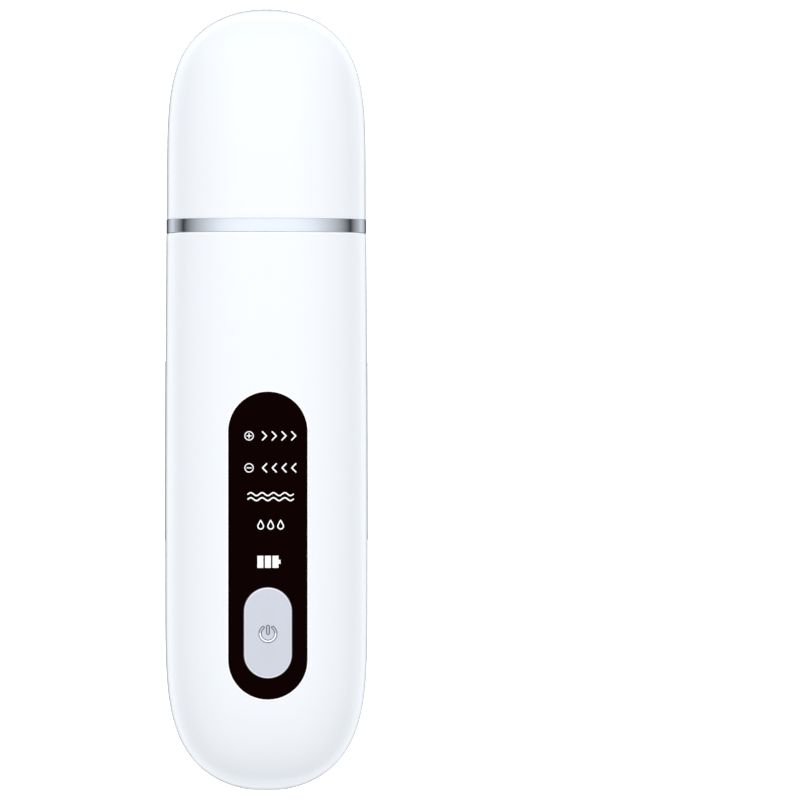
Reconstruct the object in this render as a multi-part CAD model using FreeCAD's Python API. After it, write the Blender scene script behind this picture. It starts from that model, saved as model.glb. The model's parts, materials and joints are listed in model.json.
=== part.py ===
import FreeCAD
import Part
import math
import os
from FreeCAD import Vector

# Cordless ultrasonic skin scrubber with its cap on, in millimetres.
# +X runs across the handle, +Y along it towards the cap, +Z out of the front, where the panel is.
# It lies on the narrow flat along its back, with the origin under the middle of its length.
# Heights called z below are counted from the parting plane between the two shells.

# ---- driving dimensions ----
total_length = 174.0
half_width = 22.5
half_depth = 14.0
squareness = 2.6
ring_scale = 0.988
nose_power = 5.17
tail_nose = 52.0
flat_half_width = 8.0
wall = 1.9

tail_y = -total_length / 2
cap_y = total_length / 2
ring_low = 37.1
ring_high = 40.1
seam_gap = 0.05
mid = half_depth * (1 - (flat_half_width / half_width) ** squareness) ** (1 / squareness)

cap_half_width = 22.1
cap_half_depth = 13.72
cap_wall = 1.3
cap_tip_wall = 1.0
cap_inner_power = 5.7
cap_mouth = ring_high + 0.1

neck_half_width = 20.5
neck_half_depth = 12.0
neck_wall = 1.5
neck_low = 26.0
neck_peak = ring_high + 8.4
neck_side = ring_high + 5.0
arch_radius = (neck_half_width ** 2 + (neck_peak - neck_side) ** 2) / (2 * (neck_peak - neck_side))
arch_centre = neck_peak - arch_radius

blade_thickness = 0.8
blade_tip = ring_high + 42.0
blade_crease = blade_tip - 6.7
blade_bend = math.radians(16)
blade_half_width = 16.6
blade_root = 13.0
seal_flange = (ring_high + 1.8, ring_high + 3.4)

lens_width = 17.4
lens_length = 67.8
lens_y = tail_y + 54.9
lens_floor = 12.6
tape_thickness = 0.15
button_width = 10.65
button_length = 20.05
button_y = tail_y + 35.7
button_top = half_depth + 0.35
button_gap = 0.2
flange_low = 10.9
flange_high = 11.6
legend_rows = [tail_y + reach for reach in (79.1, 72.05, 65.9, 59.5)]
battery_row = tail_y + 51.35

board_low = 5.2
board_high = 6.4
board_half_width = 12.0
board_ends = (tail_y + 21.0, 2.0)
charge_board_high = -1.65
charge_board_low = -2.65
usb_mouth = tail_y + 0.7

contact_proud = 0.1
contact_length = 39.65
contact_height = 5.0
contact_y = tail_y + 75.7
contact_floor = 21.7

screw_radius = 0.85
screw_clearance = 1.1
screw_head_radius = 1.7
screw_head_height = 1.1
clamp_half_width = 7.0
clamp_ends = (14.0, 34.0)
clamp_level = (0.42, 4.0)
clamp_screw_rows = (17.0, 31.0)
piezo_y = 24.0
piezo_radius = 4.8
piezo_thickness = 0.8
sleeve_ends = (15.0, 19.0)
sleeve_half_width = 9.5
sleeve_half_depth = 7.0

usb_width = 8.94
usb_height = 3.26
usb_wall = 0.3
usb_depth = 7.35
usb_play = 0.32
battery_ends = (-58.0, -12.0)
battery_level = (-10.0, -3.5)
battery_half_width = 12.0
label_ends = (-30.0, 10.0)
label_half_width = 6.0


# ---- shape helpers ----
def block(x, y, z):
    """Box between the low and high value of each pair, with z from the parting plane."""
    return Part.makeBox(x[1] - x[0], y[1] - y[0], z[1] - z[0], Vector(x[0], y[0], mid + z[0]))


def rod(radius, x, y, z):
    """Upright cylinder at x, y between the two heights of z."""
    return Part.makeCylinder(radius, z[1] - z[0], Vector(x, y, mid + z[0]))


def join(pieces):
    return pieces[0].multiFuse(pieces[1:]).removeSplitter()


def cut_each(shape, tools):
    for tool in tools:
        shape = shape.cut(tool)
    return shape


def section_curve(width, depth):
    """Closed superellipse of half-width and half-depth in the XZ plane, about the origin."""
    points = []
    steps = 48
    for step in range(steps):
        angle = 2 * math.pi * step / steps - math.pi / 2
        across = math.cos(angle)
        up = math.sin(angle)
        reach = (abs(across) ** squareness + abs(up) ** squareness) ** (-1 / squareness)
        points.append(Vector(width * across * reach, 0, depth * up * reach))
    curve = Part.BSplineCurve()
    curve.interpolate(Points=points, PeriodicFlag=True)
    return curve


def nose_profile(start, base, length, power, start_scale):
    """Curve of section scale (X) against position (Y): swells to full size at base, then a rounded nose."""
    straight_steps = 6
    nose_steps = 18
    points = []
    for step in range(straight_steps):
        share = step / straight_steps
        scale = 1 - (1 - start_scale) * (1 - share) ** 2
        points.append(Vector(scale, start + (base - start) * share, 0))
    for step in range(nose_steps + 1):
        reach = math.sin(math.pi / 2 * step / nose_steps)
        points.append(Vector(math.sqrt(max(0, 1 - reach ** power)), base + length * reach, 0))
    lean = Vector(2 * (1 - start_scale), base - start, 0).normalize()
    curve = Part.BSplineCurve()
    curve.interpolate(Points=points, InitialTangent=lean, FinalTangent=Vector(-1, 0, 0))
    return curve


def rounded_form(width, depth, start, base, length, power, start_scale=1.0):
    """Solid with one flat end at start and a rounded nose that ends at base + length."""
    section = section_curve(width, depth)
    profile = nose_profile(start, base, length, power, start_scale)
    poles = []
    for around in section.getPoles():
        poles.append([Vector(along.x * around.x, along.y, mid + along.x * around.z)
                      for along in profile.getPoles()])
    surface = Part.BSplineSurface()
    surface.buildFromPolesMultsKnots(poles, section.getMultiplicities(), profile.getMultiplicities(),
                                     section.getKnots(), profile.getKnots(), True, False,
                                     section.Degree, profile.Degree)
    skin = surface.toShape()
    rims = [edge for edge in skin.Edges if edge.BoundBox.YLength < 1e-6 and edge.Length > 1]
    shell = Part.Shell([skin, Part.Face(Part.Wire(rims))])
    shell.sewShape()
    solid = Part.Solid(shell)
    if solid.Volume < 0:
        solid.reverse()
    return solid


def band(width, depth, low, high):
    """Straight length of the handle's section between two positions along it."""
    curve = section_curve(width, depth)
    curve.translate(Vector(0, low, mid))
    return Part.Face(Part.Wire(curve.toShape())).extrude(Vector(0, high - low, 0))


def handle_form(inset):
    """The handle's outer form, or a form moved in by inset, which has the full section up to the ring."""
    start = ring_low - seam_gap
    start_scale = ring_scale
    if inset > 0:
        start += 1
        start_scale = 1.0
    base = tail_y + tail_nose
    nose = inset - tail_nose
    return rounded_form(half_width - inset, half_depth - inset, start, base, nose, nose_power, start_scale)


def above_floor(shape):
    """The shape with the flat along its back cut at z = 0."""
    slab = Part.makeBox(60, 200, 5, Vector(-30, -100, -5))
    return shape.cut(slab)


def stadium(width, length, y, z):
    """Upright prism with a stadium outline, long along Y and centred on x = 0."""
    radius = width / 2
    run = length / 2 - radius
    low = mid + z[0]
    right = Part.LineSegment(Vector(radius, y - run, low), Vector(radius, y + run, low))
    top = Part.Arc(right.EndPoint, Vector(0, y + run + radius, low), Vector(-radius, y + run, low))
    left = Part.LineSegment(top.EndPoint, Vector(-radius, y - run, low))
    foot = Part.Arc(left.EndPoint, Vector(0, y - run - radius, low), right.StartPoint)
    outline = Part.Wire([piece.toShape() for piece in (right, top, left, foot)])
    return Part.Face(outline).extrude(Vector(0, 0, z[1] - z[0]))


def tube(radius, bend, corners):
    """Lead that runs straight between its corners and turns at each on an arc of radius bend."""
    points = [Vector(x, y, mid + z) for x, y, z in corners]
    edges = []
    start = points[0]
    for before, corner, after in zip(points, points[1:], points[2:]):
        back = (before - corner).normalize()
        ahead = (after - corner).normalize()
        half_angle = back.getAngle(ahead) / 2
        reach = bend / math.tan(half_angle)
        inward = (back + ahead).normalize()
        middle = corner + inward * (bend / math.sin(half_angle) - bend)
        leave = corner + back * reach
        arrive = corner + ahead * reach
        edges.append(Part.LineSegment(start, leave).toShape())
        edges.append(Part.Arc(leave, middle, arrive).toShape())
        start = arrive
    edges.append(Part.LineSegment(start, points[-1]).toShape())
    circle = Part.Wire(Part.makeCircle(radius, points[0], points[1] - points[0]))
    return Part.Wire(edges).makePipeShell([circle], True, True)


def screw(x, y, seat, length, heading):
    """Cross-head screw whose head stands on the height seat and whose shank goes along heading."""
    place = Vector(x, y, mid + seat)
    way = Vector(0, 0, heading)
    head = Part.makeCylinder(screw_head_radius, screw_head_height, place, way * -1)
    shank = Part.makeCylinder(screw_radius, length, place, way)
    body = head.fuse(shank)
    top = mid + seat - heading * screw_head_height
    slot = Part.makeBox(2.0, 0.4, 1.0, Vector(x - 1.0, y - 0.2, top - 0.5))
    cross = slot.fuse(slot.rotated(Vector(x, y, top), Vector(0, 0, 1), 90))
    return body.cut(cross).removeSplitter()


# ---- cap ----
def make_cap_shell():
    outer = rounded_form(cap_half_width, cap_half_depth, cap_mouth, cap_mouth + 2, cap_y - cap_mouth - 2,
                         nose_power)
    inner = rounded_form(cap_half_width - cap_wall, cap_half_depth - cap_wall, cap_mouth - 1, cap_mouth,
                         cap_y - cap_mouth - cap_tip_wall, cap_inner_power)
    return above_floor(outer.cut(inner))


# ---- handle shells ----
boss_radius = 2.0
board_boss_top = 12.2
neck_boss_top = 10.9
rib_depth = 12.6
rear_boss_depth = 12.0
board_screw_places = [(x, y) for x in (-10.4, 10.4) for y in (board_ends[0] + 3, board_ends[1] - 3)]
neck_screw_places = [(-14.5, 22.5), (14.5, 22.5)]
charge_screw_places = [(-6.5, tail_y + 19), (6.5, tail_y + 19)]
neck_tab = (1.5, 3.5)


def usb_slot():
    """Opening through the tail for the charging plug, half of it in each shell."""
    slot = stadium(usb_height + 2 * usb_play, usb_width + 2 * usb_play, 0, (0, 4))
    slot.rotate(Vector(0, 0, mid), Vector(0, 0, 1), 90)
    slot.rotate(Vector(0, 0, mid), Vector(1, 0, 0), -90)
    slot.translate(Vector(0, tail_y - 1, 0))
    return slot


def contact_prism(width, length, inner):
    """Stadium prism that points out of the right-hand side, from x = inner outwards."""
    prism = stadium(width, length, 0, (inner, half_width + 2))
    prism.translate(Vector(0, 0, -mid))
    prism.rotate(Vector(0, 0, 0), Vector(0, 1, 0), 90)
    prism.translate(Vector(0, contact_y, mid))
    return prism


def both_sides(shape):
    return join([shape, shape.mirror(Vector(0, 0, 0), Vector(1, 0, 0))])


def contact_recess():
    """Seats for the two side contacts, with a slot through the wall for each one's tab."""
    seat = contact_prism(contact_height + 0.1, contact_length + 0.1, contact_floor - 0.05)
    slot = block((18, contact_floor), (contact_y - 1.15, contact_y + 1.15), (-1.15, 1.15))
    return both_sides(seat.fuse(slot))


def sleeve_ribs(low, high):
    """Four ribs that hold the transducer's sleeve, between two heights."""
    ribs = []
    for x in (-8, 4):
        for y in (sleeve_ends[0] + 0.5, sleeve_ends[0] + 2.5):
            ribs.append(block((x, x + 4), (y, y + 1), (low, high)))
    return ribs


def window(half, y):
    """Slot in the floor under the lens that lets a lamp shine through."""
    return block((-half, half), (y - 1.4, y + 1.4), (9, lens_floor + 0.2))


def button_hole():
    return stadium(button_width + 2 * button_gap, button_length + 2 * button_gap, button_y, (9, 20))


def make_front_shell():
    shell = handle_form(0).cut(handle_form(wall)).common(block((-30, 30), (-100, 100), (0, 30)))
    rebate = handle_form(wall - 1.0).common(block((-30, 30), (-100, 100), (-1, 1.3)))
    posts = [rod(boss_radius, x, y, (board_high + 0.05, board_boss_top)) for x, y in board_screw_places]
    posts += [rod(boss_radius, x, y, (neck_tab[1] + 0.05, neck_boss_top)) for x, y in neck_screw_places]
    posts += sleeve_ribs(sleeve_half_depth + 0.05, rib_depth)
    shell = shell.cut(rebate).multiFuse(posts)
    cuts = [rod(screw_radius, x, y, (0, 10)) for x, y in board_screw_places]
    cuts += [rod(screw_radius, x, y, (0, 8.5)) for x, y in neck_screw_places]
    cuts += [window(5.0, y) for y in legend_rows]
    cuts.append(window(2.8, battery_row))
    cuts.append(stadium(lens_width + 0.1, lens_length + 0.1, lens_y, (lens_floor, 20)))
    return cut_each(shell, cuts + [button_hole(), usb_slot(), contact_recess()])


def make_rear_shell():
    bowl = handle_form(0).common(block((-30, 30), (-100, 100), (-30, 0)))
    lip = handle_form(wall - 0.9).common(block((-30, 30), (-100, ring_low - seam_gap), (-1.5, 1.2)))
    boss_level = (-rear_boss_depth, charge_board_low - 0.05)
    posts = [rod(boss_radius, x, y, boss_level) for x, y in charge_screw_places]
    posts += sleeve_ribs(-rib_depth, -sleeve_half_depth - 0.05)
    for y in (battery_ends[0] - 2, battery_ends[1] + 1):
        posts.append(block((-10, 10), (y, y + 1), (-rib_depth, -7.5)))
    shell = above_floor(bowl.fuse(lip).cut(handle_form(wall))).multiFuse(posts)
    cuts = [rod(screw_radius, x, y, (-9, 0)) for x, y in charge_screw_places]
    seat_half = label_half_width + 0.1
    seat_ends = (label_ends[0] - 0.1, label_ends[1] + 0.1)
    cuts.append(block((-seat_half, seat_half), seat_ends, (-15, 0.15 - mid)))
    return cut_each(shell, cuts + [usb_slot(), contact_recess()])


def make_rating_label():
    return block((-label_half_width, label_half_width), label_ends, (0.03 - mid, 0.14 - mid))


# ---- ring and neck ----
def make_chrome_ring():
    ring = band(half_width * ring_scale, half_depth * ring_scale, ring_low, ring_high)
    hole = band(neck_half_width + 0.1, neck_half_depth + 0.1, ring_low - 1, ring_high + 1)
    return above_floor(ring.cut(hole))


def arched(shape, inset):
    """The shape below the neck's arched top, moved down by inset."""
    arch = Part.makeCylinder(arch_radius - inset, 60, Vector(0, arch_centre, mid - 30))
    return shape.common(arch)


def snap_ridges():
    """Low bars on the neck's faces that the cap clicks over."""
    bars = []
    for x in (-18.5, 12.3):
        bars.append(block((x, x + 6.2), (ring_high + 2.6, ring_high + 3.4), (-20, 20)))
    skin = band(neck_half_width + 0.2, neck_half_depth + 0.2, 42, 45)
    skin = skin.cut(band(neck_half_width - 0.5, neck_half_depth - 0.5, 41, 46))
    return skin.common(join(bars))


def make_neck_housing():
    neck = arched(band(neck_half_width, neck_half_depth, neck_low, neck_peak + 1), 0)
    top_edges = [edge for edge in neck.Edges if edge.BoundBox.YMin > neck_side - 0.6]
    neck = neck.makeFillet(1.0, top_edges)
    inner = band(neck_half_width - neck_wall, neck_half_depth - neck_wall, neck_low - 1, neck_peak)
    tabs = [block((12, 19.7), (20, 30), neck_tab), block((-19.7, -12), (20, 30), neck_tab)]
    inside = band(neck_half_width - 0.2, neck_half_depth - 0.2, 19, 31)
    neck = join([neck.cut(arched(inner, neck_wall)), snap_ridges()] + [tab.common(inside) for tab in tabs])
    slot = block((-17.2, 17.2), (40, 60), (-1.5, 1.5))
    groove = band(30, 30, 28.9, 30.7).cut(band(neck_half_width - 0.65, neck_half_depth - 0.65, 28, 32))
    holes = [rod(screw_clearance, x, y, (0, 5)) for x, y in neck_screw_places]
    return neck.cut([slot, groove] + holes)


def make_neck_gasket():
    outer = band(neck_half_width + 0.05, neck_half_depth + 0.05, 29.0, 30.6)
    return outer.cut(band(neck_half_width - 0.6, neck_half_depth - 0.6, 28, 32))


# ---- blade and transducer ----
def blade_outline():
    """Blade seen from the front: narrow root, wide shank, tapered tip with a hollowed edge."""
    tip = blade_tip
    right = [(6.0, blade_root), (6.0, 33.0), (blade_half_width, 40.0), (blade_half_width, tip - 26.7),
             (14.0, blade_crease), (13.3, tip - 1.5)]
    edges = []
    for side in (1, -1):
        points = [Vector(side * x, y, 0) for x, y in right]
        for start, end in zip(points, points[1:]):
            edges.append(Part.LineSegment(start, end).toShape())
        shoulder = Vector(side * 11.8, tip, 0)
        corner = Part.Arc(points[-1], Vector(side * 12.85, tip - 0.45, 0), shoulder)
        edges.append(corner.toShape())
        edges.append(Part.LineSegment(shoulder, Vector(side * 8.5, tip, 0)).toShape())
    hollow = Part.Arc(Vector(8.5, tip, 0), Vector(0, tip - 1.6, 0), Vector(-8.5, tip, 0))
    foot = Part.LineSegment(Vector(-6.0, blade_root, 0), Vector(6.0, blade_root, 0))
    edges += [hollow.toShape(), foot.toShape()]
    return Part.Face(Part.Wire(Part.sortEdges(edges)[0]))


def make_blade():
    half = blade_thickness / 2
    rise = 10 * math.tan(blade_bend)
    side_view = [(blade_root - 1, -half), (blade_crease, -half), (blade_crease + 10, rise - half),
                 (blade_crease + 10, rise + half), (blade_crease, half), (blade_root - 1, half)]
    points = [Vector(-20, y, mid + z) for y, z in side_view]
    sheet = Part.Face(Part.makePolygon(points + points[:1])).extrude(Vector(40, 0, 0))
    outline = blade_outline().extrude(Vector(0, 0, 60))
    crease = Part.makeCylinder(0.3, 40, Vector(-20, blade_crease, mid + half + 0.15), Vector(1, 0, 0))
    holes = [rod(screw_clearance, 0, y, (-2, 2)) for y in clamp_screw_rows]
    return sheet.common(outline).cut([crease] + holes)


def make_blade_seal():
    plug = arched(block((-17.1, 17.1), (seal_flange[0] + 0.8, 60), (-1.45, 1.45)), 0.2)
    flange = block((-18, 18), seal_flange, (-3, 3))
    opening = block((-blade_half_width - 0.05, blade_half_width + 0.05), (40, 60), (-0.45, 0.45))
    return plug.fuse(flange).cut(opening).removeSplitter()


def make_blade_clamp(low, high, hole_radius):
    plate = block((-clamp_half_width, clamp_half_width), clamp_ends, (low, high))
    return plate.cut([rod(hole_radius, 0, y, (low - 1, high + 1)) for y in clamp_screw_rows])


def make_clamp_screws():
    return Part.makeCompound([screw(0, y, -clamp_level[1], 7.0, 1) for y in clamp_screw_rows])


def make_transducer_sleeve():
    level = (-sleeve_half_depth, sleeve_half_depth)
    outer = block((-sleeve_half_width, sleeve_half_width), sleeve_ends, level)
    hole_half_width = clamp_half_width + 0.05
    return outer.cut(block((-hole_half_width, hole_half_width), (14, 20), (-5.4, 5.4)))


def make_piezo_disc(low):
    return rod(piezo_radius, 0, piezo_y, (low, low + piezo_thickness))


# ---- panel and button ----
def make_display_lens():
    lens = stadium(lens_width, lens_length, lens_y, (lens_floor + tape_thickness, 20))
    return lens.common(handle_form(0)).cut(button_hole())


def make_lens_tape():
    level = (lens_floor, lens_floor + tape_thickness)
    outer = stadium(lens_width - 0.6, lens_length - 0.6, lens_y, level)
    return outer.cut(stadium(button_width + 2.2, lens_length - 5, lens_y, level))


def make_power_button():
    crown = stadium(button_width, button_length, button_y, (flange_high, button_top))
    rim = [edge for edge in crown.Edges if edge.BoundBox.ZMin > mid + button_top - 0.01]
    crown = crown.makeFillet(0.5, rim)
    flange = stadium(button_width + 2, button_length + 2, button_y, (flange_low, flange_high))
    return crown.fuse(flange).removeSplitter()


def make_switch_body():
    case = block((-3, 3), (button_y - 3, button_y + 3), (board_high, 9.9))
    return case.cut(rod(1.85, 0, button_y, (8.0, 12)))


def make_light_baffle():
    bar = block((-7, 7), (battery_row - 3.3, legend_rows[0] + 3.6), (board_high + 0.05, 11.3))
    wells = [block((-5.2, 5.2), (y - 2, y + 2), (0, 20)) for y in legend_rows + [battery_row]]
    return bar.cut(wells)


def led(x, y):
    return block((x - 0.8, x + 0.8), (y - 0.4, y + 0.4), (board_high, board_high + 0.7))


def make_mode_leds():
    return Part.makeCompound([led(0, y) for y in legend_rows])


def make_battery_leds():
    return Part.makeCompound([led(x, battery_row) for x in (-2.4, 0, 2.4)])


# ---- boards and parts on them ----
def make_main_board():
    board = block((-board_half_width, board_half_width), board_ends, (board_low, board_high))
    return board.cut([rod(screw_clearance, x, y, (0, 10)) for x, y in board_screw_places])


def make_control_chip():
    return block((-9, -2), (-24, -17), (board_low - 1.3, board_low))


def make_drive_transformer():
    core = block((1, 11), (-27, -16), (-1.8, board_low))
    windows = [block((0, 3.4), (-28, -25.4), (-1.0, 4.4)), block((8.6, 12), (-28, -25.4), (-1.0, 4.4)),
               block((0, 3.4), (-17.6, -15), (-1.0, 4.4)), block((8.6, 12), (-17.6, -15), (-1.0, 4.4))]
    return core.cut(windows)


def make_capacitor():
    can = rod(3.0, -6, -42, (-1.5, board_low))
    foot = [edge for edge in can.Edges if edge.BoundBox.ZMax < mid - 1.4]
    return can.makeFillet(0.5, foot)


def make_charge_board():
    board = block((-9, 9), (tail_y + 5, tail_y + 22), (charge_board_low, charge_board_high))
    return board.cut([rod(screw_clearance, x, y, (-5, 0)) for x, y in charge_screw_places])


def make_charge_chip():
    return block((-2, 2), (tail_y + 15, tail_y + 19), (charge_board_high, charge_board_high + 1))


def usb_tube(width, height, ends):
    """Round-ended bar along Y, the shape of a charging socket."""
    bar = stadium(height, width, 0, ends)
    bar.translate(Vector(0, 0, -mid))
    bar.rotate(Vector(0, 0, 0), Vector(0, 0, 1), 90)
    bar.rotate(Vector(0, 0, 0), Vector(1, 0, 0), -90)
    bar.translate(Vector(0, 0, mid))
    return bar


def make_usb_socket():
    outer = usb_tube(usb_width, usb_height, (usb_mouth, usb_mouth + usb_depth))
    inner_size = (usb_width - 2 * usb_wall, usb_height - 2 * usb_wall)
    return outer.cut(usb_tube(*inner_size, (usb_mouth - 1, usb_mouth + usb_depth + 1)))


def make_usb_tongue():
    base = usb_tube(8.3, 2.62, (usb_mouth + 5.5, usb_mouth + 7.3))
    return base.fuse(block((-3.35, 3.35), (usb_mouth + 0.7, usb_mouth + 6), (-0.35, 0.35))).removeSplitter()


def make_charge_ribbon():
    foot = block((-3, 3), (tail_y + 20, tail_y + 25.7), (charge_board_high, charge_board_high + 0.3))
    riser = block((-3, 3), (tail_y + 25.4, tail_y + 25.7), (charge_board_high, board_low))
    return foot.fuse(riser).removeSplitter()


# ---- battery and leads ----
def make_battery_cell():
    cell = block((-battery_half_width, battery_half_width), battery_ends, battery_level)
    long_edges = [edge for edge in cell.Edges if edge.BoundBox.YLength > 40]
    return cell.makeFillet(1.5, long_edges)


def make_battery_foam():
    pad = block((-10, 10), (battery_ends[0] + 2, battery_ends[1] - 2), (-half_depth, battery_level[0]))
    return pad.common(handle_form(wall + 0.02))


def make_battery_lead(x):
    return tube(0.6, 2.5, [(x, battery_ends[1], -6), (x, -6, -6), (x, -6, board_low)])


def make_piezo_lead_front():
    return tube(0.4, 1.6, [(2, 26, 4.85), (2, 26, 8.6), (2, -0.5, 8.6), (2, -0.5, board_high)])


def make_piezo_lead_rear():
    corners = [(-2, 26, -4.85), (-2, 26, -8.4), (-2, 4, -8.4), (-2, -1.5, -2), (-2, -1.5, board_low)]
    return tube(0.4, 1.6, corners)


# ---- side contacts ----
def make_side_contact():
    plate = contact_prism(contact_height, contact_length, contact_floor).common(handle_form(-contact_proud))
    tab = block((19.6, contact_floor + 0.1), (contact_y - 1, contact_y + 1), (-1, 1))
    return plate.fuse(tab).removeSplitter()


def make_contact_spring():
    rows = (contact_y - 0.9, contact_y + 0.9)
    leaf = block((19.25, 19.55), rows, (-1, board_low))
    arm = block((9.5, 19.55), rows, (board_low - 0.3, board_low))
    return leaf.fuse(arm).removeSplitter()


def mirrored(shape):
    return shape.mirror(Vector(0, 0, 0), Vector(1, 0, 0))


def screws_up(places, seat, length):
    return Part.makeCompound([screw(x, y, seat, length, 1) for x, y in places])


def make_charge_board_screws():
    return Part.makeCompound([screw(x, y, charge_board_high, 4.5, -1) for x, y in charge_screw_places])


def all_parts():
    """Every sub-part, by the name of its file."""
    contact = make_side_contact()
    spring = make_contact_spring()
    return {
        "cap_shell": make_cap_shell(),
        "front_shell": make_front_shell(),
        "rear_shell": make_rear_shell(),
        "rating_label": make_rating_label(),
        "chrome_ring": make_chrome_ring(),
        "neck_housing": make_neck_housing(),
        "neck_gasket": make_neck_gasket(),
        "neck_screws": screws_up(neck_screw_places, neck_tab[0], 6.5),
        "blade": make_blade(),
        "blade_seal": make_blade_seal(),
        "blade_clamp_front": make_blade_clamp(*clamp_level, screw_radius),
        "blade_clamp_rear": make_blade_clamp(-clamp_level[1], -clamp_level[0], screw_clearance),
        "clamp_screws": make_clamp_screws(),
        "piezo_disc_front": make_piezo_disc(clamp_level[1]),
        "piezo_disc_rear": make_piezo_disc(-clamp_level[1] - piezo_thickness),
        "transducer_sleeve": make_transducer_sleeve(),
        "display_lens": make_display_lens(),
        "lens_tape": make_lens_tape(),
        "power_button": make_power_button(),
        "switch_body": make_switch_body(),
        "switch_plunger": rod(1.75, 0, button_y, (8.6, flange_low - 0.05)),
        "light_baffle": make_light_baffle(),
        "mode_leds": make_mode_leds(),
        "battery_leds": make_battery_leds(),
        "main_board": make_main_board(),
        "board_screws": screws_up(board_screw_places, board_low, 4.6),
        "control_chip": make_control_chip(),
        "drive_transformer": make_drive_transformer(),
        "boost_inductor": rod(3.5, 5.5, -42, (1.0, board_low)),
        "capacitor": make_capacitor(),
        "charge_board": make_charge_board(),
        "charge_board_screws": make_charge_board_screws(),
        "charge_chip": make_charge_chip(),
        "charge_ribbon": make_charge_ribbon(),
        "usb_socket": make_usb_socket(),
        "usb_tongue": make_usb_tongue(),
        "battery_cell": make_battery_cell(),
        "battery_foam": make_battery_foam(),
        "battery_lead_red": make_battery_lead(-3.0),
        "battery_lead_black": make_battery_lead(3.0),
        "piezo_lead_front": make_piezo_lead_front(),
        "piezo_lead_rear": make_piezo_lead_rear(),
        "side_contact_right": contact,
        "side_contact_left": mirrored(contact),
        "contact_spring_right": spring,
        "contact_spring_left": mirrored(spring),
    }


def write_parts():
    os.makedirs("parts", exist_ok=True)
    for node, shape in all_parts().items():
        shape.exportStep("parts/" + node + ".step")


write_parts()
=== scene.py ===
import bpy
import bmesh
import json
import math
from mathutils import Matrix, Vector


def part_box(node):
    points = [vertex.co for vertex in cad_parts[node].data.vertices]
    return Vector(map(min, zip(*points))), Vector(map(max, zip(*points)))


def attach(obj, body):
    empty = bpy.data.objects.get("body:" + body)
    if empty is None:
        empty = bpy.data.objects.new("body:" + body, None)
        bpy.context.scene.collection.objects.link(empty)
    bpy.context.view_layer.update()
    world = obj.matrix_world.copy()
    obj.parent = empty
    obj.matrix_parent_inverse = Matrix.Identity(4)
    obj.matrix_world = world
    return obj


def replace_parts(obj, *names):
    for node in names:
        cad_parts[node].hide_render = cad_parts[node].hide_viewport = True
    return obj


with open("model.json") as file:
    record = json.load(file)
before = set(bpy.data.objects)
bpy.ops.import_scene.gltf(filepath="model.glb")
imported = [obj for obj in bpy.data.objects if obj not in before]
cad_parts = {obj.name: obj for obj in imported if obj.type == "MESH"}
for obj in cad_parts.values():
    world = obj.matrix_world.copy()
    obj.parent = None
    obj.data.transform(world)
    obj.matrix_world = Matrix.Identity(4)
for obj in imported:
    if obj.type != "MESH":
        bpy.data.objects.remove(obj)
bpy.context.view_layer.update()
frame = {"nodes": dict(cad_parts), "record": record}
nodes = frame["nodes"]

# Looks of a cordless skin scrubber, in metres: white gloss handle and cap, chrome ring, black panel.
# +X is across the handle, +Y towards the cap, +Z out of the front. MID is the shells' parting plane.
MM = 0.001
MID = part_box("front_shell")[0].z
RING_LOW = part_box("chrome_ring")[0].y
RING_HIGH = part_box("chrome_ring")[1].y
HALF_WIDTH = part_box("front_shell")[1].x
HALF_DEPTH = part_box("front_shell")[1].z - MID
RING_HALF_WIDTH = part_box("chrome_ring")[1].x
RING_HALF_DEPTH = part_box("chrome_ring")[1].z - MID
CAP_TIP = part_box("cap_shell")[1].y
TAIL = -CAP_TIP
CAP_MOUTH = RING_HIGH + 0.03 * MM
CAP_HALF_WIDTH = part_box("cap_shell")[1].x
CAP_HALF_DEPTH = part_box("cap_shell")[1].z - MID
WALL = 1.9 * MM
CAP_WALL = 1.3 * MM
CAP_TIP_WALL = 1.0 * MM
CAP_ROUNDING = 0.1 * MM
SEAM = 0.05 * MM
# Powers of the curves: the section's, the two noses' and the cap's inner nose's.
SQUARENESS = 2.6
NOSE_POWER = 5.17
INNER_NOSE_POWER = 5.7
TAIL_NOSE = 52.0 * MM
ROUNDING = 0.2 * MM
# Rim round an opening in a shell, and the width of the painted highlight along the white plastic's edges.
LIP = 0.4 * MM
LIP_RISE = 0.04 * MM
PAINTED_HIGHLIGHT_BAND = 0.3 * MM
KEY_FLANGE = 1.0 * MM
# How far a cutter goes past what it cuts.
PAST = 1 * MM


# ---- mesh helpers ----
def new_object(name, mesh):
    """A mesh object, linked into the scene."""
    piece = bpy.data.objects.new(name, mesh)
    bpy.context.scene.collection.objects.link(piece)
    return piece


def smooth(piece, degrees=35):
    """Smooth shading, kept sharp where faces turn by more than the given angle."""
    piece.data.shade_smooth()
    piece.data.set_sharp_from_angle(angle=math.radians(degrees))


def loft(name, loops, closed_ring=False, start_pole=None, end_pole=None):
    """Quads between successive closed loops of equal length, with optional single end points."""
    count = len(loops[0])
    points = [point for loop in loops for point in loop]
    faces = []
    pairs = list(range(len(loops) - 1))
    if closed_ring:
        pairs.append(len(loops) - 1)
    for row in pairs:
        low = row * count
        high = ((row + 1) % len(loops)) * count
        for step in range(count):
            after = (step + 1) % count
            faces.append((low + step, low + after, high + after, high + step))
    if start_pole is not None:
        points.append(start_pole)
        faces += [((step + 1) % count, step, len(points) - 1) for step in range(count)]
    if end_pole is not None:
        points.append(end_pole)
        last = (len(loops) - 1) * count
        faces += [(last + step, last + (step + 1) % count, len(points) - 1) for step in range(count)]
    mesh = bpy.data.meshes.new(name)
    mesh.from_pydata([tuple(point) for point in points], [], faces)
    mesh.validate()
    piece = new_object(name, mesh)
    builder = edit_mesh(piece)
    bmesh.ops.remove_doubles(builder, verts=builder.verts, dist=1e-7)
    finish_mesh(builder, mesh)
    return piece


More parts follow.
